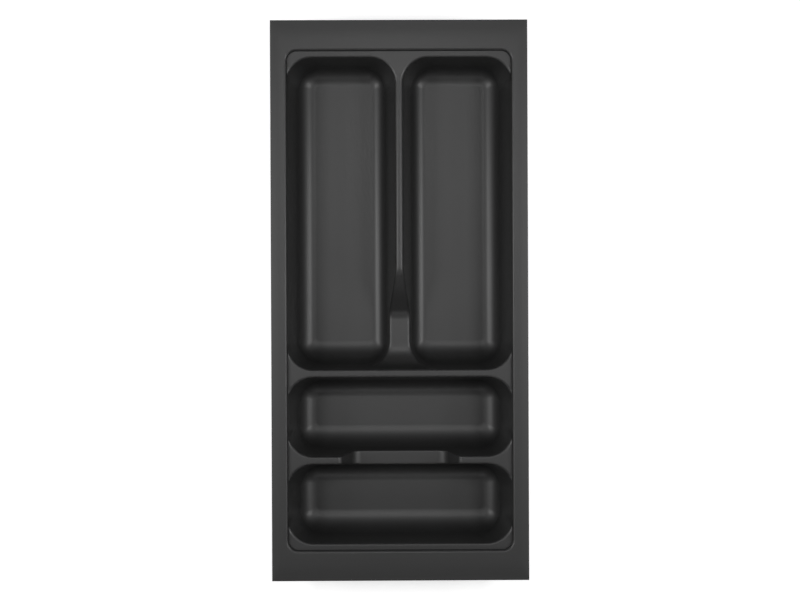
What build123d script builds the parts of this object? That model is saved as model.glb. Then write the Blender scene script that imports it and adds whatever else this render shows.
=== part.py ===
from build123d import *

import math
import os

# A cutlery tray for a kitchen drawer, formed from one plastic sheet. A wide rim surrounds a shallow basin,
# and four pockets are sunk from the basin's ledge: two long ones side by side at the back, and two across
# the front.
# Millimetres and degrees. +X is right, +Y is the back of the drawer, +Z is up, and the floors stand on Z 0.

# Overall sizes
tray_width = 217.0
tray_length = 473.0
tray_height = 53.0
sheet = 1.5

# Rim: flat round the basin, with an outer strip that falls a little towards the cut edge
side_rim = 13.3
end_rim = 25.3
side_strip = 6.5
end_strip = 12.3
strip_fall = 0.55
rim_round = 2.2

# Basin: the step from the rim down to the ledge that carries the dividers
rim_step = 4.0
basin_corner = 9.0
basin_draft = 10.5

# Ledge and dividers, measured between sharp edges at ledge level
end_ledge = 4.8
middle_divider = 6.0
cross_divider = 6.2
cross_pocket_length = 67.3
mouth_round = 1.5

# Pockets: the side walls lean more than the end walls, and start a little behind the basin's side walls.
# At the floor, the radius of an upright corner is larger than the floor rounding by the corner spare.
pocket_corner = 22.0
floor_round = 18.0
corner_spare = 2.0
side_draft = 12.5
end_draft = 6.5
wall_overlap = 0.8

# Depth below the ledge of the two finger gaps
finger_depth = 27.0

# Finger gap between the long pockets: a ramp down to a platform that ends at the cross divider
ramp_top = 82.2
ramp_run = 35.5
ramp_round = 15.0
ramp_foot_round = 14.0
platform_round = 13.0
wall_proud = 0.2

# Finger gap in the front divider, centred across the tray
gap_width = 100.0
gap_slope_run = 10.5
gap_round = 3.5
gap_foot_round = 6.5

# Levels and lines that follow from the sizes above
rim_level = tray_height
ledge_level = rim_level - rim_step
floor_level = sheet
platform_level = ledge_level - finger_depth
floor_corner = floor_round + corner_spare
basin_half_x = tray_width / 2 - side_rim
basin_half_y = tray_length / 2 - end_rim
basin_lean = math.tan(math.radians(basin_draft))
side_lean = math.tan(math.radians(side_draft))
end_lean = math.tan(math.radians(end_draft))
mouth_half_x = basin_half_x - rim_step * basin_lean + wall_overlap
mouth_half_y = basin_half_y - rim_step * basin_lean - end_ledge
front_divider_y = -mouth_half_y + cross_pocket_length
middle_pocket_y = front_divider_y + cross_divider
back_divider_y = middle_pocket_y + cross_pocket_length
long_pocket_y = back_divider_y + cross_divider

# Room above the rim, overlap between joined volumes, and how near to a level an edge counts as lying in it
headroom = 10.0
overlap = 2.0
level_tolerance = 0.01


def edges_at(shape, level, half_x=tray_width / 2, half_y=tray_length / 2):
    """Edges of a shape that lie flat at one level, inside a rectangle round the origin."""
    flat_edges = shape.edges().filter_by_position(Axis.Z, level - level_tolerance, level + level_tolerance)
    return flat_edges.filter_by(lambda edge: abs(edge.center().X) < half_x and abs(edge.center().Y) < half_y)


def rounded_block(half_x, half_y, top, bottom, lean_x, lean_y, top_corner, bottom_corner):
    """Block with rounded upright corners and leaning sides. Its half sizes are those at the top."""
    run_x = (top - bottom) * lean_x
    run_y = (top - bottom) * lean_y
    upper = RectangleRounded(2 * half_x, 2 * half_y, top_corner)
    lower = RectangleRounded(2 * (half_x - run_x), 2 * (half_y - run_y), bottom_corner)
    return loft([Pos(0, 0, bottom) * lower, Pos(0, 0, top) * upper], ruled=True)


def above_ledge(grow):
    """All the space above the ledge surface, moved down by grow."""
    bottom = ledge_level - grow
    height = rim_level + headroom - bottom
    slab = Box(2 * tray_width, 2 * tray_length, height, align=(Align.CENTER, Align.CENTER, Align.MIN))
    return Pos(0, 0, bottom) * slab


def pocket(x_low, x_high, y_low, y_high, grow):
    """Space inside one pocket to a little above the ledge, its walls and floor moved outwards by grow."""
    bottom = floor_level - grow
    half_x = (x_high - x_low) / 2 + overlap * side_lean + grow / math.cos(math.radians(side_draft))
    half_y = (y_high - y_low) / 2 + overlap * end_lean + grow / math.cos(math.radians(end_draft))
    block = rounded_block(
        half_x,
        half_y,
        ledge_level + overlap,
        bottom,
        side_lean,
        end_lean,
        pocket_corner + grow,
        floor_corner + grow,
    )
    block = fillet(edges_at(block, bottom), floor_round + grow)
    return Pos((x_low + x_high) / 2, (y_low + y_high) / 2, 0) * block


def pockets(grow):
    """The four pockets, open into the space above the ledge, with their mouths rounded on the upper face."""
    half_divider = middle_divider / 2
    space = above_ledge(grow)
    space += pocket(-mouth_half_x, -half_divider, long_pocket_y, mouth_half_y, grow)
    space += pocket(half_divider, mouth_half_x, long_pocket_y, mouth_half_y, grow)
    space += pocket(-mouth_half_x, mouth_half_x, middle_pocket_y, back_divider_y, grow)
    space += pocket(-mouth_half_x, mouth_half_x, -mouth_half_y, front_divider_y, grow)
    if mouth_round > grow:
        space = fillet(edges_at(space, ledge_level - grow), mouth_round - grow)
    return space


def finger_ramp(grow):
    """Space of the finger gap between the long pockets: a prism across the middle divider."""
    slope = math.atan2(finger_depth, ramp_run)
    bottom = platform_level - grow
    drop = ledge_level - bottom
    ramp_y = long_pocket_y + ramp_top + grow / math.sin(slope)
    wall_y = long_pocket_y + wall_proud - grow / math.cos(math.radians(end_draft))
    profile = Polyline(
        (ramp_y + overlap / math.tan(slope), ledge_level + overlap),
        (ramp_y - drop / math.tan(slope), bottom),
        (wall_y + drop * end_lean, bottom),
        (wall_y - overlap * end_lean, ledge_level + overlap),
        close=True,
    )
    prism = extrude(Plane.YZ * make_face(profile), 2 * pocket_corner, both=True)
    prism = fillet(edges_at(prism, bottom).filter_by(Axis.X).sort_by(Axis.Y)[0], platform_round + grow)
    prism = fillet(edges_at(prism, bottom).filter_by(Axis.X).sort_by(Axis.Y)[-1], ramp_foot_round + grow)
    space = above_ledge(grow) + prism
    ramp_lip = edges_at(space, ledge_level - grow).filter_by(Axis.X).sort_by(Axis.Y)[-1]
    space = fillet(ramp_lip, ramp_round - grow)
    if mouth_round > grow:
        wall_lip = edges_at(space, ledge_level - grow).filter_by(Axis.X).sort_by(Axis.Y)[0]
        space = fillet(wall_lip, mouth_round - grow)
    return space


def finger_gap(grow):
    """Space of the finger gap in the front divider: a prism along Y with sloping ends."""
    slope = math.atan2(finger_depth, gap_slope_run)
    bottom = platform_level - grow
    half_ledge = gap_width / 2 + grow / math.sin(slope)
    half_top = half_ledge + overlap / math.tan(slope)
    half_bottom = half_ledge - (ledge_level - bottom) / math.tan(slope)
    profile = Polyline(
        (-half_top, ledge_level + overlap),
        (-half_bottom, bottom),
        (half_bottom, bottom),
        (half_top, ledge_level + overlap),
        close=True,
    )
    prism = extrude(Plane.XZ * make_face(profile), (cross_divider + pocket_corner) / 2, both=True)
    prism = fillet(edges_at(prism, bottom).filter_by(Axis.Y), gap_foot_round + grow)
    space = above_ledge(grow) + Pos(0, front_divider_y + cross_divider / 2, 0) * prism
    return fillet(edges_at(space, ledge_level - grow).filter_by(Axis.Y), gap_round - grow)


def rim_and_basin(grow):
    """Space above the rim and inside the basin, whose walls run on down past the pocket floors."""
    outward = grow / math.cos(math.radians(basin_draft)) + overlap * basin_lean
    basin = rounded_block(
        basin_half_x + outward,
        basin_half_y + outward,
        rim_level + overlap,
        floor_level - grow - overlap,
        basin_lean,
        basin_lean,
        basin_corner + grow,
        basin_corner + grow,
    )
    surface = rim_level - grow
    foot = surface - 2 * strip_fall
    flat_x = tray_width - 2 * side_strip
    flat_y = tray_length - 2 * end_strip
    past_x = tray_width + 2 * side_strip
    past_y = tray_length + 2 * end_strip
    crown_foot = Pos(0, 0, foot) * Rectangle(past_x, past_y)
    crown_top = Pos(0, 0, surface) * Rectangle(flat_x, flat_y)
    crown = loft([crown_foot, crown_top], ruled=True)
    above = Box(past_x, past_y, rim_level + headroom - foot, align=(Align.CENTER, Align.CENTER, Align.MIN))
    space = Pos(0, 0, foot) * above - crown + basin
    if rim_round > grow:
        inner_edge = edges_at(space, surface, flat_x / 2 - level_tolerance, flat_y / 2 - level_tolerance)
        space = fillet(inner_edge, rim_round - grow)
    return space


def space_above(grow):
    """All the space above the sheet's upper face, or with grow set to the sheet, above its underside."""
    inner = pockets(grow) + finger_ramp(grow) + finger_gap(grow)
    return inner & rim_and_basin(grow)


def formed_tray():
    """The sheet lies between the space above its underside and the space above its upper face."""
    outline = Box(tray_width, tray_length, 2 * (rim_level + headroom))
    return (space_above(sheet) & outline) - space_above(0)


os.makedirs("parts", exist_ok=True)
export_step(formed_tray(), "parts/tray.step")
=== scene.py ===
# %% [markdown]
# A cutlery tray, formed from one sheet of dark plastic, as it lies in a kitchen drawer. The script models
# the sheet in millimetres, finishes it in metres in the frame of the packed part, and lights it from above.
# The frame comes first: it gives the tray's outer size, so nothing has to be fitted afterwards.

# %% Load the frame
import math
from collections import namedtuple

import bmesh
import bpy
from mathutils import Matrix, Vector


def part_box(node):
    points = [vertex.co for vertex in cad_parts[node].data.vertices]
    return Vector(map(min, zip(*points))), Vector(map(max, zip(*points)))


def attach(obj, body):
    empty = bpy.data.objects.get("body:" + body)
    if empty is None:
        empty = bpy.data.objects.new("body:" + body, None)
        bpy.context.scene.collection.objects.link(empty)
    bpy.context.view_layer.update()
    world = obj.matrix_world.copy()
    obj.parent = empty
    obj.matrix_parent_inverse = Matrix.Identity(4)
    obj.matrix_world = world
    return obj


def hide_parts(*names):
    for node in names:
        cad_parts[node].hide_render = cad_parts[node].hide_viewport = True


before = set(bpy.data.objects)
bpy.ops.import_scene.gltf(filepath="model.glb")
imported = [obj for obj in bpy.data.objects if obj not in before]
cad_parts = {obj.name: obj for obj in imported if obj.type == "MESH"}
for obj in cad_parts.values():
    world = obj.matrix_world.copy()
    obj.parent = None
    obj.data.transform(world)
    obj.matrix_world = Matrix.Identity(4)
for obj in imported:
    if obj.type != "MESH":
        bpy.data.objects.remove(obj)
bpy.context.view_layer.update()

MM = 0.001
tray_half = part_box("tray")[1] / MM
print("half width, half length and height in mm:", [round(size, 2) for size in tray_half])

# %% [markdown]
# The sizes of the formed sheet, in millimetres and degrees. A formed tray has draft on every wall, so that
# it leaves its mould, and a rounding on every edge, because a warm sheet can't follow a sharp one. The
# levels are those of the upper face, which is the face that shows. The pockets' side walls start a little
# outside the foot of the basin's step, by the overlap, so that no ledge is left along the sides.

# %% Sizes of the formed sheet
SHEET = 1.5
ledge_drop, finger_depth = 4.0, 27.0
rim_level = tray_half.z
ledge_level = rim_level - ledge_drop
platform_level = ledge_level - finger_depth
floor_level = SHEET

side_rim, end_rim = 13.3, 25.3
basin_half = (tray_half.x - side_rim, tray_half.y - end_rim)
basin_draft = math.radians(10.5)
step_run = (rim_level - ledge_level) * math.tan(basin_draft)

middle_divider, cross_divider, cross_length = 6.0, 6.2, 67.3
end_ledge, side_overlap = 4.8, 0.8
side_draft, end_draft = math.radians(12.5), math.radians(6.5)
mouth_corner, floor_corner, flat_corner = 22.0, 20.0, 3.0
side_mouth_round, end_mouth_round = 3.2, 1.8
floor_round, divider_foot_round, front_foot_round = 15.5, 12.0, 20.5

mouth_x = basin_half[0] - step_run + side_overlap
mouth_y = basin_half[1] - step_run - end_ledge
front_divider_y = -mouth_y + cross_length
middle_pocket_y = front_divider_y + cross_divider
back_divider_y = middle_pocket_y + cross_length
long_pocket_y = back_divider_y + cross_divider
print("pocket lines along Y:", [round(y, 2) for y in (-mouth_y, front_divider_y, back_divider_y, mouth_y)])

# %% [markdown]
# Both finger gaps have a section of straight lines with rounded corners: a ridge, a slope and a platform. A
# bevel could round the corners of a plain section afterwards, but here the section also tells the pocket
# walls how high they stand, so one function rounds the corners and another adds points along the straight
# stretches.


# %% Rounded sections
def soften(corners, radii, steps=10):
    """The points of an open outline whose inner corners are rounded to the given radii."""
    points = [Vector(corners[0])]
    for before, corner, after, radius in zip(corners, corners[1:], corners[2:], radii):
        corner = Vector(corner)
        back = (Vector(before) - corner).normalized()
        on = (Vector(after) - corner).normalized()
        half_angle = back.angle(on) / 2
        centre = corner + (back + on).normalized() * radius / math.sin(half_angle)
        reach = radius / math.tan(half_angle)
        start = corner + back * reach - centre
        end = corner + on * reach - centre
        points += [centre + start.slerp(end, step / steps) * radius for step in range(steps + 1)]
    return points + [Vector(corners[-1])]


def spread(points, spacing):
    """The same line with points added, so that no two neighbours are further apart than the spacing."""
    line = points[:1]
    for low, high in zip(points, points[1:]):
        steps = math.ceil((high - low).length / spacing)
        line += [low.lerp(high, step / steps) for step in range(1, steps + 1)]
    return line


ramp_top, ramp_run = 82.2, 35.5
ramp_round, ramp_foot_round, platform_round = 15.0, 14.0, 18.0
gap_wall_draft, gap_wall_inset = math.radians(8.0), 0.05
ramp_y = long_pocket_y + ramp_top
wall_y = long_pocket_y + gap_wall_inset
wall_foot_y = wall_y + (ledge_level - platform_level) * math.tan(gap_wall_draft)
ramp_corners = [(mouth_y - mouth_corner, ledge_level), (ramp_y, ledge_level)]
ramp_corners += [(ramp_y - ramp_run, platform_level), (wall_foot_y, platform_level), (wall_y, ledge_level)]
ramp_section = soften(ramp_corners, radii=(ramp_round, ramp_foot_round, platform_round))

gap_foot_half, gap_half = 39.5, 50.0
gap_foot_round, gap_round = 11.0, 5.0
gap_corners = [(0, platform_level), (gap_foot_half, platform_level)]
gap_corners += [(gap_half, ledge_level), (mouth_x - mouth_corner, ledge_level)]
gap_section = soften(gap_corners, radii=(gap_foot_round, gap_round))
print("points on the two sections:", len(ramp_section), len(gap_section))

# %% [markdown]
# A pocket is a stack of rounded rectangles, one per level. A station is one place on that outline: how far
# it lies towards the corners in X and Y, and the way that the wall faces there. Each station also knows the
# level of the surface that its wall stands up to, which is the ledge everywhere but in the finger gaps, and
# the angle at which that surface rises away from the pocket.

# %% Pocket outline
Station = namedtuple("Station", "towards_x towards_y facing top rise", defaults=(ledge_level, 0.0))


def basin_x(level):
    """Where the basin's side wall stands at one level."""
    return basin_half[0] - (rim_level - level) * math.tan(basin_draft)


def corner_at(level):
    """Radius of a pocket's upright corners, which are a little wider at the mouth."""
    height = level - floor_level
    return floor_corner + (mouth_corner - floor_corner) * height / (ledge_level - floor_level)


class Pocket:
    """A pocket, by the place and half sizes of its mouth, and the walls that lead down from there."""

    def __init__(self, x_low, x_high, y_low, y_high):
        self.centre = ((x_low + x_high) / 2, (y_low + y_high) / 2)
        self.half = ((x_high - x_low) / 2, (y_high - y_low) / 2)

    def half_at(self, level_x, level_y):
        """Half sizes of the outline where its X walls and its Y walls have the given levels."""
        half_x = self.half[0] - (ledge_level - level_x) * math.tan(side_draft)
        half_y = self.half[1] - (ledge_level - level_y) * math.tan(end_draft)
        return half_x, half_y

    def place(self, station, half, corner, level):
        """The point of a station on an outline, kept inside the basin's side wall."""
        x = self.centre[0] + station.towards_x * (half[0] - corner) + corner * math.cos(station.facing)
        y = self.centre[1] + station.towards_y * (half[1] - corner) + corner * math.sin(station.facing)
        return Vector((min(x, basin_x(level)), y, level))

    def wall(self, station, level):
        """The point of a station on the plain wall at one level."""
        return self.place(station, self.half_at(level, level), corner_at(level), level)


long_pocket = Pocket(middle_divider / 2, mouth_x, long_pocket_y, mouth_y)
middle_pocket = Pocket(-mouth_x, mouth_x, middle_pocket_y, back_divider_y)
front_pocket = Pocket(-mouth_x, mouth_x, -mouth_y, front_divider_y)
print("half sizes of the long and cross pockets:", long_pocket.half, middle_pocket.half)

# %% [markdown]
# The profile of a wall has three stretches: the rounded mouth, the leaning wall and the wide rounding at
# the foot. A bevel could round the two edges, but the foot's radius differs from wall to wall and the
# corners narrow towards the floor. So every row of the mesh follows one point of the profile round the
# pocket: the rows lie as the sheet was stretched, and the shading stays even.

# %% Wall profile
MOUTH_ROWS, WALL_ROWS, FOOT_ROWS = 6, 5, 14


def mix(start, end, share):
    """The value that lies a share of the way from start to end."""
    return start + (end - start) * share


def bend(start, corner, end, share, weight=0.78):
    """A point on the bend from start to end whose tangents meet at a corner, close to a circle's arc."""
    parts = ((1 - share) ** 2, 2 * weight * share * (1 - share), share ** 2)
    return (start * parts[0] + corner * parts[1] + end * parts[2]) / sum(parts)


def x_share(station):
    """How much a wall counts as an X wall: 1 on the sides, 0 at the ends, between them in the corners."""
    return math.cos(station.facing) ** 2


def mouth_reach(station):
    """Draft of a wall, and how far its mouth's rounding reaches from the sharp edge."""
    draft = mix(end_draft, side_draft, x_share(station))
    radius = mix(end_mouth_round, side_mouth_round, x_share(station))
    return draft, radius * math.tan((math.pi / 2 - draft) / 2)


def mouth_points(pocket, station):
    """Rows over the rounded mouth, from the surface round the pocket down to the wall."""
    draft, reach = mouth_reach(station)
    way_x, way_y = math.cos(station.facing), math.sin(station.facing)
    outward = Vector((way_x, way_y * math.cos(station.rise), abs(way_y) * math.sin(station.rise)))
    edge = pocket.wall(station, station.top)
    out = edge + reach * outward
    out.x = min(out.x, basin_x(out.z))
    below = pocket.wall(station, station.top - reach * math.cos(draft))
    return [bend(out, edge, below, row / MOUTH_ROWS) for row in range(MOUTH_ROWS + 1)]


def foot_profile(turn, radius):
    """How far a wall's foot reaches out from the floor and up, where its surface has turned by an angle."""
    return radius * math.sin(turn), radius * (1 - math.cos(turn))


def wall_points(pocket, station, start_level):
    """Rows down the wall and round its foot, from the level where the mouth's rounding ends."""
    share = x_share(station)
    radii = (
        divider_foot_round if station.towards_x < 0 else floor_round,
        front_foot_round if station.towards_y < 0 else floor_round,
    )
    turns = (math.pi / 2 - side_draft, math.pi / 2 - end_draft)
    tops = [foot_profile(turn, radius) for turn, radius in zip(turns, radii)]
    points = []
    for row in range(1, WALL_ROWS + 1):
        levels = [mix(start_level, floor_level + up, row / WALL_ROWS) for _, up in tops]
        level = mix(levels[1], levels[0], share)
        points.append(pocket.place(station, pocket.half_at(*levels), corner_at(level), level))
    wall_corner, wall_half = corner_at(level), pocket.half_at(*levels)
    for row in range(1, FOOT_ROWS + 1):
        done = row / FOOT_ROWS
        feet = [foot_profile(turn * (1 - done), radius) for turn, radius in zip(turns, radii)]
        half = [wall - top[0] + foot[0] for wall, top, foot in zip(wall_half, tops, feet)]
        level = floor_level + mix(feet[1][1], feet[0][1], share)
        points.append(pocket.place(station, half, mix(wall_corner, flat_corner, done), level))
    return points


def columns_of(pocket, stations):
    """For each station, its points from the mouth down to the floor."""
    columns = []
    for station in stations:
        mouth = mouth_points(pocket, station)
        columns.append(mouth + wall_points(pocket, station, mouth[-1].z))
    return columns


print("rows from the mouth to the floor:", MOUTH_ROWS + WALL_ROWS + FOOT_ROWS)

# %% [markdown]
# Three helpers do the modelling. One lays a first row of points as a chain of edges. One extrudes a row and
# puts each new vertex where it belongs, which is how a wall is pulled from an edge by hand. The last pulls
# a whole pocket and closes its floor. Extruding keeps the rows joined, so there is nothing to stitch later.

# %% Rows of the mesh
sheet_mesh = bmesh.new()


def pairs(row, closed=False):
    """Neighbours in a row."""
    return list(zip(row, row[1:] + row[:1] if closed else row[1:]))


def first_row(points, closed=False):
    """New vertices at the given points, joined by edges."""
    row = [sheet_mesh.verts.new(point) for point in points]
    for pair in pairs(row, closed):
        sheet_mesh.edges.new(pair)
    return row


def pull_row(row, points, closed=False):
    """Extrudes a row of edges and puts the new vertices at the given points."""
    edges = [sheet_mesh.edges.get(pair) for pair in pairs(row, closed)]
    made = set(bmesh.ops.extrude_edge_only(sheet_mesh, edges=edges)["geom"])
    pulled = [next(edge.other_vert(v) for edge in v.link_edges if edge.other_vert(v) in made) for v in row]
    for vertex, point in zip(pulled, points):
        vertex.co = point
    return pulled


def face(*runs):
    """One flat face round the vertices of several runs."""
    return sheet_mesh.faces.new([vertex for run in runs for vertex in run])


def sink(columns, closed=False):
    """Pulls a pocket from its mouth down, closes its floor, and returns the row at the mouth."""
    rows = list(zip(*columns))
    mouth = row = first_row(rows[0], closed)
    for points in rows[1:]:
        row = pull_row(row, points, closed)
    face(row)
    return mouth


print("mesh started with", len(sheet_mesh.verts), "vertices")

# %% [markdown]
# The tray is the same left and right, so only the right half is modelled and then mirrored. The right long
# pocket is a closed ring of stations. On the side of the middle divider its top follows the ramp down to
# the platform, and where the platform ends, its edge climbs the end wall back to the ledge.

# %% Right long pocket
CORNER_STEPS, CLIMB_STEPS = 20, 4


def corner_run(towards_x, towards_y, start, end, steps=CORNER_STEPS):
    """Stations round one corner, both ends included; start and end are degrees."""
    return [
        Station(towards_x, towards_y, math.radians(mix(start, end, step / steps)))
        for step in range(steps + 1)
    ]


def side_run(start, end, facing, steps):
    """Stations along one straight side, without its ends; facing is in degrees."""
    stations = []
    for step in range(1, steps):
        towards = [mix(low, high, step / steps) for low, high in zip(start, end)]
        stations.append(Station(*towards, math.radians(facing)))
    return stations


def divider_run():
    """Stations at the points of the ramp's section: along the divider, then round the corner."""
    stations = []
    for before, point in pairs(spread(ramp_section[:-1], spacing=4.0)):
        level = point.y
        corner = corner_at(level)
        half_y = long_pocket.half_at(level, level)[1]
        towards_y = (point.x - long_pocket.centre[1]) / (half_y - corner)
        if towards_y > -1:
            stations.append(Station(-1, towards_y, math.pi, level))
        else:
            inward = point.x - (long_pocket.centre[1] - half_y)
            facing = math.pi + math.asin(1 - inward / corner)
            rise = math.atan2(level - before.y, before.x - point.x)
            stations.append(Station(-1, -1, facing, level, rise))
    return stations


_, end_reach = mouth_reach(Station(-1, -1, math.radians(270)))


def end_wall(share):
    """Place and level on the pocket's end wall: 0 to 1 over the rounded mouth, then on down the wall."""
    edge = Vector((long_pocket_y, ledge_level))
    down = Vector((math.sin(end_draft), -math.cos(end_draft))) * end_reach
    if share >= 1:
        return edge + down * share
    return bend(edge - Vector((end_reach, 0)), edge, edge + down, share)


def climb_columns():
    """Columns where the platform's edge climbs the end wall; each starts higher on the wall."""
    lowest = (ledge_level - ramp_section[-2].y) / end_reach - 1
    on_wall = [mix(lowest, 1, step / CLIMB_STEPS) for step in range(1, CLIMB_STEPS)]
    on_mouth = [1 - step / CLIMB_STEPS for step in range(CLIMB_STEPS + 1)]
    columns = []
    for start in on_wall + on_mouth:
        top = end_wall(start).y
        inward = gap_wall_inset + (ledge_level - top) * (math.tan(gap_wall_draft) - math.tan(end_draft))
        station = Station(-1, -1, math.pi + math.asin(1 - inward / corner_at(top)), top)
        column = []
        for row in range(MOUTH_ROWS + 1):
            y, level = end_wall(start + row / MOUTH_ROWS)
            x = long_pocket.wall(station, level).x
            column.append(Vector((x, y + corner_at(level) * (1 + math.sin(station.facing)), level)))
        columns.append(column + wall_points(long_pocket, station, column[-1].z))
    return columns


right_side = columns_of(long_pocket, side_run((1, -1), (1, 1), facing=0, steps=60))
back_right = columns_of(long_pocket, corner_run(1, 1, start=0, end=90))
back_side = columns_of(long_pocket, side_run((1, 1), (-1, 1), facing=90, steps=12))
back_left = columns_of(long_pocket, corner_run(-1, 1, start=90, end=180))
divider_side = columns_of(long_pocket, divider_run()) + climb_columns()
front_left = columns_of(long_pocket, corner_run(-1, -1, start=268, end=270, steps=1))
front_side = columns_of(long_pocket, side_run((-1, -1), (1, -1), facing=270, steps=12))
front_right = columns_of(long_pocket, corner_run(1, -1, start=270, end=360))
long_runs = [right_side, back_right, back_side, back_left]
long_runs += [divider_side, front_left, front_side, front_right]
long_mouth = sink([column for run in long_runs for column in run], closed=True)
print("stations round the long pocket:", len(long_mouth))

# %% [markdown]
# Each cross pocket reaches over the whole width, so its right half is an open chain of stations from the
# middle of its back wall to the middle of its front wall. The finger gap between the two lowers the front
# wall of one and the back wall of the other by the same section.

# %% Right halves of the cross pockets
HALF_STEPS = 24


def gap_run(pocket, towards_y, facing):
    """Stations from the middle of a wall to its corner, at the levels of the finger gap's section."""
    stations = []
    for point in spread(gap_section, spacing=5.0)[:-1]:
        straight = pocket.half_at(point.y, point.y)[0] - corner_at(point.y)
        stations.append(Station(point.x / straight, towards_y, math.radians(facing), point.y))
    return stations


def plain_run(towards_y, facing):
    """Stations from the middle of a wall to its corner, all at the ledge's level."""
    middle = Station(0, towards_y, math.radians(facing))
    return [middle] + side_run((0, towards_y), (1, towards_y), facing, HALF_STEPS)


def half_pocket_runs(pocket, back, front):
    """Columns of the right half of a cross pocket, run by run from the back to the front."""
    side = side_run((1, 1), (1, -1), facing=0, steps=10)
    back_corner = corner_run(1, 1, start=90, end=0)
    front_corner = corner_run(1, -1, start=0, end=-90)
    runs = [back, back_corner, side, front_corner, front[::-1]]
    return [columns_of(pocket, run) for run in runs]


middle_runs = half_pocket_runs(middle_pocket, plain_run(1, 90), gap_run(middle_pocket, -1, -90))
front_runs = half_pocket_runs(front_pocket, gap_run(front_pocket, 1, 90), plain_run(-1, -90))
middle_mouth = sink([column for run in middle_runs for column in run])
front_mouth = sink([column for run in front_runs for column in run])
print("stations on the half cross pockets:", len(middle_mouth), len(front_mouth))

# %% [markdown]
# The tops between the pockets come next. The middle divider is pulled from the mouth of the long pocket to
# the middle of the tray, which gives the ridge, the ramp and the platform in one go. The low divider is
# pulled from both cross pockets to its own middle line.


# %% Dividers
def runs_of(mouth, runs):
    """The mouth's vertices, run by run."""
    parts, start = [], 0
    for run in runs:
        parts.append(mouth[start:start + len(run)])
        start += len(run)
    return parts


long_parts = runs_of(long_mouth, long_runs)
_, long_back_corner, long_back, ridge_back, ridge, ridge_front, long_front, long_front_corner = long_parts
middle_back, middle_back_corner, _, middle_front_corner, middle_front = runs_of(middle_mouth, middle_runs)
front_back, front_back_corner, _, front_front_corner, front_front = runs_of(front_mouth, front_runs)

ridge_edge = ridge_back + ridge + ridge_front
ridge_middle = pull_row(ridge_edge, [Vector((0, v.co.y, v.co.z)) for v in ridge_edge])

low_divider_y = front_divider_y + cross_divider / 2
low_edges = (middle_front_corner[-1:] + middle_front, front_back_corner[:1] + front_back[::-1])
low_middle, _ = [pull_row(row, [Vector((v.co.x, low_divider_y, v.co.z)) for v in row]) for row in low_edges]
print("divider rows:", len(ridge_middle), len(low_middle))

# %% [markdown]
# The ledge runs round all pockets at the foot of the basin's step. It is flat, so each stretch of it is one
# face between the mouths and the foot. Along the sides there is no ledge, and the wall goes straight up to
# the rim: there the foot shares its vertices with the mouths, and the ledge ends in a thin tip on either
# side.

# %% Ledge
TOUCH = 1e-3
basin_corner = 9.0
pivot = (basin_half[0] - basin_corner, basin_half[1] - basin_corner)


def on_side(vertex):
    """Whether a mouth's vertex lies on the basin's side wall."""
    return abs(vertex.co.x - basin_x(ledge_level)) < TOUCH


def inner(run):
    """The vertices of a run that border on the ledge."""
    return [vertex for vertex in run if not on_side(vertex)]


def foot_run(sign):
    """Foot of the step along the back or the front, from the middle of the tray to past the corner."""
    corner = basin_corner - step_run
    straight_y = sign * (pivot[1] + corner)
    points = [Vector((pivot[0] * step / HALF_STEPS, straight_y, ledge_level)) for step in range(HALF_STEPS)]
    for step in range(CORNER_STEPS + 1):
        angle = math.radians(90 * (1 - step / CORNER_STEPS))
        x, y = pivot[0] + corner * math.cos(angle), pivot[1] + corner * math.sin(angle)
        points.append(Vector((x, sign * y, ledge_level)))
    return first_row(points)


back_foot, front_foot = foot_run(1), foot_run(-1)
mouths = (long_mouth, middle_mouth, front_mouth)
side_feet = [sorted(filter(on_side, mouth), key=lambda v: -v.co.y) for mouth in mouths]
(long_back_tip, long_front_tip), (middle_back_tip, middle_front_tip), (front_back_tip, front_front_tip) = [
    (foot[:1], foot[-1:]) for foot in side_feet
]

face(
    ridge_middle[:1], ridge_back[:1], long_back[::-1], inner(long_back_corner)[::-1],
    long_back_tip, back_foot[::-1],
)
face(
    ridge_middle[-1:], ridge_front[-1:], long_front, inner(long_front_corner), long_front_tip,
    middle_back_tip, inner(middle_back_corner)[::-1], middle_back[::-1],
)
face(
    middle_front_tip, inner(middle_front_corner), low_middle[:1],
    inner(front_back_corner), front_back_tip,
)
face(front_front_tip, inner(front_front_corner), front_front, front_foot)
print("faces so far:", len(sheet_mesh.faces))

# %% [markdown]
# From the foot, one row of vertices is pulled up the step, over its rounded edge and out across the rim.
# The basin has round corners and the rim square ones, so each vertex keeps its direction from the corner's
# pivot. The outer strip of the rim falls a little towards the cut edge, with a soft bend where it starts.

# %% Step and rim
rim_round, side_strip, end_strip, strip_fall = 2.2, 6.5, 12.3, 0.55
ROUND_ROWS, BEND_ROWS, BEND_SHARE = 6, 6, 0.35

foot_row = back_foot + side_feet[0] + side_feet[1] + side_feet[2] + front_foot[::-1]
for pair in pairs(foot_row):
    if sheet_mesh.edges.get(pair) is None:
        sheet_mesh.edges.new(pair)


def rim_row(out_x, out_y, square, level):
    """Points for the foot's vertices, moved out from the pivots by the given distances."""
    points = []
    for vertex in foot_row:
        x, y = vertex.co.x, vertex.co.y
        side = math.copysign(1, y)
        facing = math.atan2(max(0, abs(y) - pivot[1]), max(0, x - pivot[0]))
        way_x, way_y = math.cos(facing), math.sin(facing)
        longest = max(way_x, way_y) if square else 1
        new_x = min(x, pivot[0]) + out_x * way_x / longest
        new_y = min(abs(y), pivot[1]) + out_y * way_y / longest
        points.append(Vector((new_x, side * new_y, level)))
    return points


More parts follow.
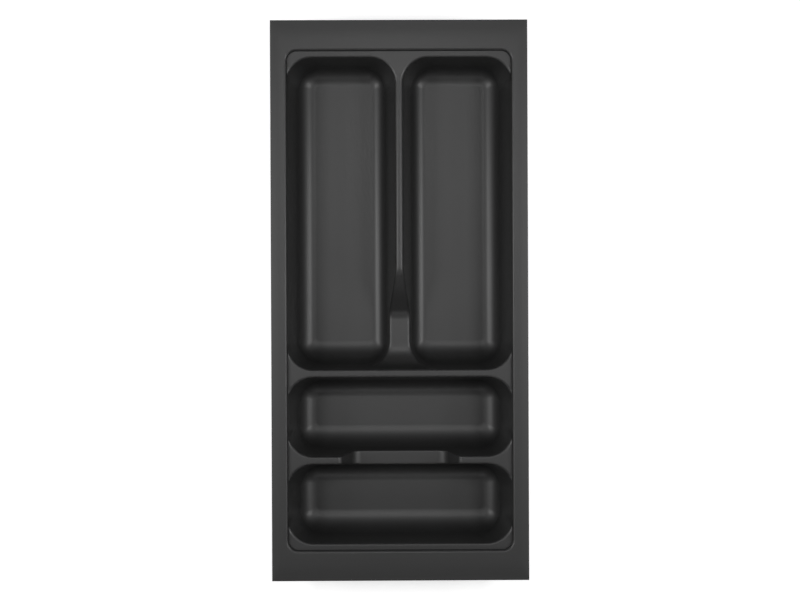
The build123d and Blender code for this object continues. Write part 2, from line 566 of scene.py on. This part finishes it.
rim_rows = []
rim_reach = rim_round * math.tan((math.pi / 2 - basin_draft) / 2)
for step in range(ROUND_ROWS + 1):
    angle = mix(basin_draft, math.pi / 2, step / ROUND_ROWS)
    out = basin_corner + rim_reach - rim_round * math.cos(angle)
    rim_rows.append(rim_row(out, out, False, rim_level - rim_round * (1 - math.sin(angle))))
bend_shares = [mix(-BEND_SHARE, BEND_SHARE, step / BEND_ROWS) for step in range(BEND_ROWS + 1)]
for share in bend_shares + [1]:
    # a parabola leads from the flat part of the rim into the strip
    fall = share if share >= BEND_SHARE else (share + BEND_SHARE) ** 2 / (4 * BEND_SHARE)
    out_x = tray_half.x - side_strip * (1 - share) - pivot[0]
    out_y = tray_half.y - end_strip * (1 - share) - pivot[1]
    rim_rows.append(rim_row(out_x, out_y, True, rim_level - strip_fall * fall))

row = foot_row
for points in rim_rows:
    row = pull_row(row, points)
print("rim rows:", len(rim_rows), "vertices in each:", len(row))

# %% [markdown]
# The half is mirrored, and then the sheet gets its thickness. The normals are put right in between, because
# they tell the operator which way is down. The cut edge of the rim gets a very small bevel, as a trimmed
# sheet has.

# %% Whole sheet
MERGE, SHARP, CUT_BEVEL = 0.002, math.radians(50), 0.2
bmesh.ops.remove_doubles(sheet_mesh, verts=sheet_mesh.verts, dist=MERGE)
half_sheet = sheet_mesh.verts[:] + sheet_mesh.edges[:] + sheet_mesh.faces[:]
bmesh.ops.mirror(sheet_mesh, geom=half_sheet, axis="X", merge_dist=MERGE)
bmesh.ops.recalc_face_normals(sheet_mesh, faces=sheet_mesh.faces)
if max(sheet_mesh.faces, key=lambda f: f.calc_area()).normal.z < 0:
    bmesh.ops.reverse_faces(sheet_mesh, faces=sheet_mesh.faces)
print("edges round the cut:", sum(edge.is_boundary for edge in sheet_mesh.edges))

bmesh.ops.solidify(sheet_mesh, geom=sheet_mesh.faces[:], thickness=SHEET)


def on_cut(edge):
    """Whether an edge runs along the cut round the outside of the rim."""
    along_side = all(abs(abs(v.co.x) - tray_half.x) < TOUCH for v in edge.verts)
    along_end = all(abs(abs(v.co.y) - tray_half.y) < TOUCH for v in edge.verts)
    return (along_side or along_end) and edge.calc_face_angle(0) > SHARP


cut_edges = [edge for edge in sheet_mesh.edges if on_cut(edge)]
bmesh.ops.bevel(
    sheet_mesh, geom=cut_edges, offset=CUT_BEVEL, offset_type="OFFSET", affect="EDGES",
    segments=2, profile=0.5, material=-1, clamp_overlap=True,
)
print("cut edges:", len(cut_edges), "faces of the sheet:", len(sheet_mesh.faces))

# %% [markdown]
# The mesh becomes an object in metres, at the origin and unturned, so it lies exactly where the packed part
# does. Smooth shading alone would bend the light on the flat rim beside its roundings. A Weighted Normal
# modifier lets the large faces decide the normals, and edges over fifty degrees, which are those of the
# cut, stay sharp.

# %% Finished tray
bmesh.ops.scale(sheet_mesh, vec=(MM, MM, MM), verts=sheet_mesh.verts)
tray_mesh = bpy.data.meshes.new("formed_tray")
sheet_mesh.to_mesh(tray_mesh)
sheet_mesh.free()
tray_mesh.shade_smooth()
tray_mesh.set_sharp_from_angle(angle=SHARP)
formed_tray = bpy.data.objects.new("formed_tray", tray_mesh)
bpy.context.scene.collection.objects.link(formed_tray)
even_normals = formed_tray.modifiers.new("even normals", "WEIGHTED_NORMAL")
even_normals.keep_sharp = True
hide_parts("tray")
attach(formed_tray, "root")
print("triangles in the tray:", sum(len(polygon.vertices) - 2 for polygon in tray_mesh.polygons))

# %% [markdown]
# Materials are sums of node outputs. A small class wraps a socket, so that a sum can be written as one, and
# each operator adds its own Math node. Every other node comes from one method, settings first and sockets
# after.


# %% Sockets that can be added up
class Shade:
    """An output socket that can be added to or multiplied with others, or the tree that new nodes go to."""

    def __init__(self, tree, socket=None):
        self.tree = tree
        self.socket = socket

    def node(self, kind, settings, inputs, output=0):
        """Adds a node: its settings first, then the values or the links of its sockets."""
        made = self.tree.nodes.new(kind)
        for name, value in settings.items():
            setattr(made, name, value)
        for name, value in inputs.items():
            if isinstance(value, Shade):
                self.tree.links.new(value.socket, made.inputs[name])
            else:
                made.inputs[name].default_value = value
        return Shade(self.tree, made.outputs[output])

    def sum(self, operation, first, second):
        """Adds a Math node."""
        return self.node("ShaderNodeMath", {"operation": operation}, {0: first, 1: second})

    def __add__(self, other):
        return self.sum("ADD", self, other)

    def __radd__(self, other):
        return self.sum("ADD", other, self)

    def __mul__(self, other):
        return self.sum("MULTIPLY", self, other)

    def __rmul__(self, other):
        return self.sum("MULTIPLY", other, self)


def new_material(name):
    """A material with a Principled shader: the material, its nodes and the shader."""
    material = bpy.data.materials.new(name)
    material.use_nodes = True
    return material, Shade(material.node_tree), material.node_tree.nodes["Principled BSDF"]


def feed(shader, name, shade):
    """Links a sum to one of the shader's sockets."""
    shade.tree.links.new(shade.socket, shader.inputs[name])


print("operators ready:", [name for name in vars(Shade) if name.startswith("__r")])

# %% [markdown]
# The plastic is black and dyed through. Its skin reflects in two ways at once: a wide sheen that is nearly
# matt, and a narrower gloss that shows as soft bright bars on every rounding. One shader with a medium
# roughness gives only something in between, so a smoother coat lies over a rough base. Forming also leaves
# a fine grain, and the gloss drifts a little from place to place. These are faint at arm's length, so the
# noise for bump, roughness and colour is kept faint too.

# %% Tray plastic
plastic, nodes, plastic_shader = new_material("satin tray plastic")
place = nodes.node("ShaderNodeTexCoord", {}, {}, "Object")


def noise(scale, detail):
    """Noise that is fixed to the tray, with its scale in cells per metre."""
    inputs = {"Vector": place, "Scale": scale, "Detail": detail, "Roughness": 0.55}
    return nodes.node("ShaderNodeTexNoise", {"noise_dimensions": "3D"}, inputs, "Fac")


grain, haze, drift = noise(scale=2600, detail=2), noise(scale=340, detail=3), noise(scale=14, detail=2)
SATIN, DRIFT_GLOSS, HAZE_GLOSS = 0.55, 0.05, 0.04
dark_dye, light_dye = (0.0051, 0.0051, 0.0052, 1), (0.0069, 0.0069, 0.0071, 1)
dye_mix = {"Factor": 0.6 * drift + 0.4 * haze, "A": dark_dye, "B": light_dye}
dye = nodes.node("ShaderNodeMix", {"data_type": "RGBA"}, dye_mix, "Result")
gloss = SATIN - (DRIFT_GLOSS + HAZE_GLOSS) / 2 + DRIFT_GLOSS * drift + HAZE_GLOSS * haze
bump = nodes.node("ShaderNodeBump", {}, {"Height": grain, "Strength": 0.12, "Distance": 0.00002})
plastic_shader.inputs["Specular IOR Level"].default_value = 1.0
plastic_shader.inputs["Coat Weight"].default_value = 0.3
plastic_shader.inputs["Coat Roughness"].default_value = 0.3
feed(plastic_shader, "Base Color", dye)
feed(plastic_shader, "Roughness", gloss)
feed(plastic_shader, "Normal", bump)
tray_mesh.materials.append(plastic)
print("plastic nodes:", len(plastic.node_tree.nodes))

# %% [markdown]
# The tray lies on pale paper, which takes the tray's shadow as any white surface does. A little light of
# its own, which only the camera and reflections see, lifts it to full white where no shadow falls, so the
# lamps can stay at a level that suits the tray.

# %% Pale paper
paper, paper_nodes, paper_shader = new_material("pale paper")
ray_kinds = ("Is Camera Ray", "Is Glossy Ray", "Is Transmission Ray")
seen = sum(paper_nodes.node("ShaderNodeLightPath", {}, {}, kind) for kind in ray_kinds)
glow_mix = {"Factor": seen, "A": (0, 0, 0, 1), "B": (1, 1, 1, 1)}
glow = paper_nodes.node("ShaderNodeMix", {"data_type": "RGBA", "clamp_factor": True}, glow_mix, "Result")
paper_shader.inputs["Base Color"].default_value = (0.86, 0.86, 0.86, 1)
paper_shader.inputs["Roughness"].default_value = 1.0
paper_shader.inputs["Specular IOR Level"].default_value = 0.0
paper_shader.inputs["Emission Strength"].default_value = 0.7
feed(paper_shader, "Emission Color", glow)
print("paper nodes:", len(paper.node_tree.nodes))

# %% [markdown]
# The paper sweeps up into a wall far off on every side, as in a studio, so a low view has a pale background
# too. One line, flat and then bent upwards, is spun round the middle into that bowl.

# %% Floor
flat_radius, bend_radius, wall_top = 3.4, 0.6, 0.95
SWEEP_STEPS, SPIN_STEPS, SEAM = 12, 96, 0.0001
sweep = [Vector((0, 0, 0)), Vector((flat_radius, 0, 0))]
for step in range(1, SWEEP_STEPS + 1):
    angle = math.radians(90 * step / SWEEP_STEPS)
    out, up = bend_radius * math.sin(angle), bend_radius * (1 - math.cos(angle))
    sweep.append(Vector((flat_radius + out, 0, up)))
sweep.append(Vector((flat_radius + bend_radius, 0, wall_top)))

ground = bmesh.new()
line = [ground.verts.new(point) for point in sweep]
for pair in pairs(line):
    ground.edges.new(pair)
line_parts = ground.verts[:] + ground.edges[:]
bmesh.ops.spin(ground, geom=line_parts, axis=(0, 0, 1), angle=math.tau, steps=SPIN_STEPS, use_merge=True)
bmesh.ops.remove_doubles(ground, verts=ground.verts, dist=SEAM)
bmesh.ops.recalc_face_normals(ground, faces=ground.faces)
for part in ground.faces:
    part.smooth = True
floor_mesh = bpy.data.meshes.new("floor")
ground.to_mesh(floor_mesh)
ground.free()
floor_mesh.materials.append(paper)
floor = bpy.data.objects.new("floor", floor_mesh)
bpy.context.scene.collection.objects.link(floor)
print("floor half width in metres:", flat_radius + bend_radius)

# %% [markdown]
# Two softboxes stand left and right of the tray, as on a copy stand, each with a lower one further out. The
# pocket walls hide one side or the other, which makes the floors darker towards the walls, and the wide
# roundings catch both as soft bars. Two lamps above, one of them further back, light the flat faces, and a
# weak one stands in front. The world adds nothing, because a light from everywhere would wash out the dark
# end walls.

# %% Lamps
tray_middle = Vector((0, 0, 0.03))


def softbox(name, stand, size, power):
    """An area lamp aimed at the tray; its size is its width, which lies level, and its height."""
    data = bpy.data.lights.new(name, "AREA")
    data.shape = "RECTANGLE"
    data.size, data.size_y = size
    data.energy = power
    lamp = bpy.data.objects.new(name, data)
    bpy.context.scene.collection.objects.link(lamp)
    lamp.location = stand
    lamp.rotation_euler = (tray_middle - Vector(stand)).to_track_quat("-Z", "Y").to_euler()
    lamp.visible_camera = False


for name, side in (("left", -1), ("right", 1)):
    softbox(name, stand=(side * 0.58, 0.06, 0.86), size=(0.3, 0.17), power=2.12)
    softbox(name + " low", stand=(side * 0.85, -0.03, 0.72), size=(0.35, 0.2), power=1.53)
softbox("front", stand=(0, -0.9, 0.8), size=(0.5, 0.3), power=0.73)
softbox("overhead", stand=(0, 0.05, 1.6), size=(0.35, 0.35), power=1.1)
softbox("overhead back", stand=(0, 0.32, 1.15), size=(0.3, 0.3), power=0.98)

world = bpy.data.worlds.new("studio")
bpy.context.scene.world = world
world.use_nodes = True
world.node_tree.nodes["Background"].inputs["Strength"].default_value = 0.0
print("lamps:", [lamp.name for lamp in bpy.data.lights])

# %% [markdown]
# The camera hangs straight above the middle of the tray, a metre and a half up, with a short telephoto
# lens. It is turned by a fraction of a degree, as a camera set up by hand is.

# %% Camera
view = bpy.data.cameras.new("camera")
view.lens, view.sensor_width = 74.7, 36
camera = bpy.data.objects.new("camera", view)
bpy.context.scene.collection.objects.link(camera)
camera.location = (-0.009, 0.005, 1.452)
tilt = (-0.19, -0.38, -0.23)
camera.rotation_euler = [math.radians(angle) for angle in tilt]
bpy.context.scene.camera = camera
bpy.context.scene.view_settings.view_transform = "Standard"
print("camera height:", camera.location.z)

# %% [markdown]
